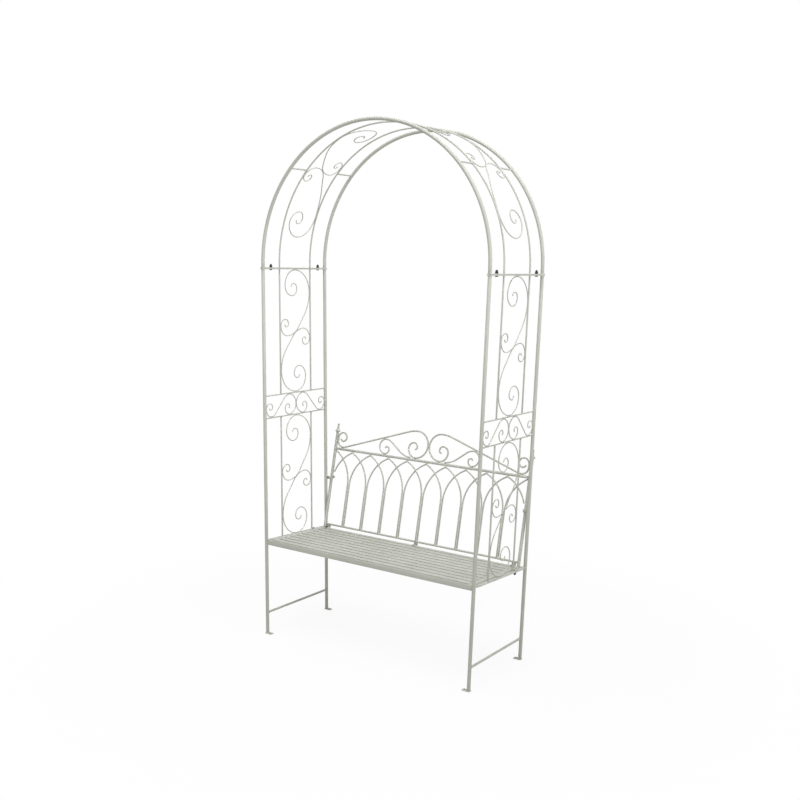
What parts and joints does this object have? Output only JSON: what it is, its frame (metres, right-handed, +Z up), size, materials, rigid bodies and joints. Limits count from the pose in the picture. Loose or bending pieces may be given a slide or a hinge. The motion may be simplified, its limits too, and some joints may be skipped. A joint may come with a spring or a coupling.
{
  "type": "arched garden bench",
  "caption": "Painted steel garden bench under a round arch, with scrollwork side panels, a slatted seat and a leaning back of interlaced pointed arches.",
  "frame": {"origin": "centre of the bounding box at ground level", "axes": "+Z up, +X along the seat towards the right-hand panel as seen by someone facing the bench, +Y from the front of the seat to the back"},
  "size_m": [1.156, 0.5088, 2.2499],
  "materials": {
    "frame_paint": "pale grey-cream powder coat, satin to matt, slightly uneven over welded and hand-bent rod",
    "black_bolts": "black coated bolts with domed nuts, semi-gloss"
  },
  "bodies": {
    "root": {"arch_left_foot_bar": "frame_paint", "arch_left_front_rod": "frame_paint", "arch_left_front_tube": "frame_paint", "arch_left_rear_rod": "frame_paint", "arch_left_rear_tube": "frame_paint", "arch_left_scrolls": "frame_paint", "arch_right_foot_bar": "frame_paint", "arch_right_front_rod": "frame_paint", "arch_right_front_tube": "frame_paint", "arch_right_rear_rod": "frame_paint", "arch_right_rear_tube": "frame_paint", "arch_right_scrolls": "frame_paint", "back_arch_bars": "frame_paint", "back_bottom_rail": "frame_paint", "back_top_rail": "frame_paint", "joint_bolt_left_front": "black_bolts", "joint_bolt_left_rear": "black_bolts", "joint_bolt_right_front": "black_bolts", "joint_bolt_right_rear": "black_bolts", "left_crest_curl": "frame_paint", "left_crest_rod": "frame_paint", "left_front_post": "frame_paint", "left_joint_bar": "frame_paint", "left_lower_front_rod": "frame_paint", "left_lower_rear_rod": "frame_paint", "left_lower_scrolls": "frame_paint", "left_rear_post": "frame_paint", "left_scroll_band": "frame_paint", "left_seat_bar": "frame_paint", "left_stile": "frame_paint", "left_stretcher": "frame_paint", "left_upper_front_rod": "frame_paint", "left_upper_rear_rod": "frame_paint", "left_upper_scrolls": "frame_paint", "right_crest_curl": "frame_paint", "right_crest_rod": "frame_paint", "right_front_post": "frame_paint", "right_joint_bar": "frame_paint", "right_lower_front_rod": "frame_paint", "right_lower_rear_rod": "frame_paint", "right_lower_scrolls": "frame_paint", "right_rear_post": "frame_paint", "right_scroll_band": "frame_paint", "right_seat_bar": "frame_paint", "right_stile": "frame_paint", "right_stretcher": "frame_paint", "right_upper_front_rod": "frame_paint", "right_upper_rear_rod": "frame_paint", "right_upper_scrolls": "frame_paint", "seat_bolt_left_front": "black_bolts", "seat_bolt_left_rear": "black_bolts", "seat_bolt_right_front": "black_bolts", "seat_bolt_right_rear": "black_bolts", "seat_frame": "frame_paint", "seat_slats": "frame_paint", "stile_bolt_left": "frame_paint", "stile_bolt_right": "frame_paint", "tab_bolt_left": "black_bolts", "tab_bolt_middle": "black_bolts", "tab_bolt_right": "black_bolts"}
  },
  "joints": []
}
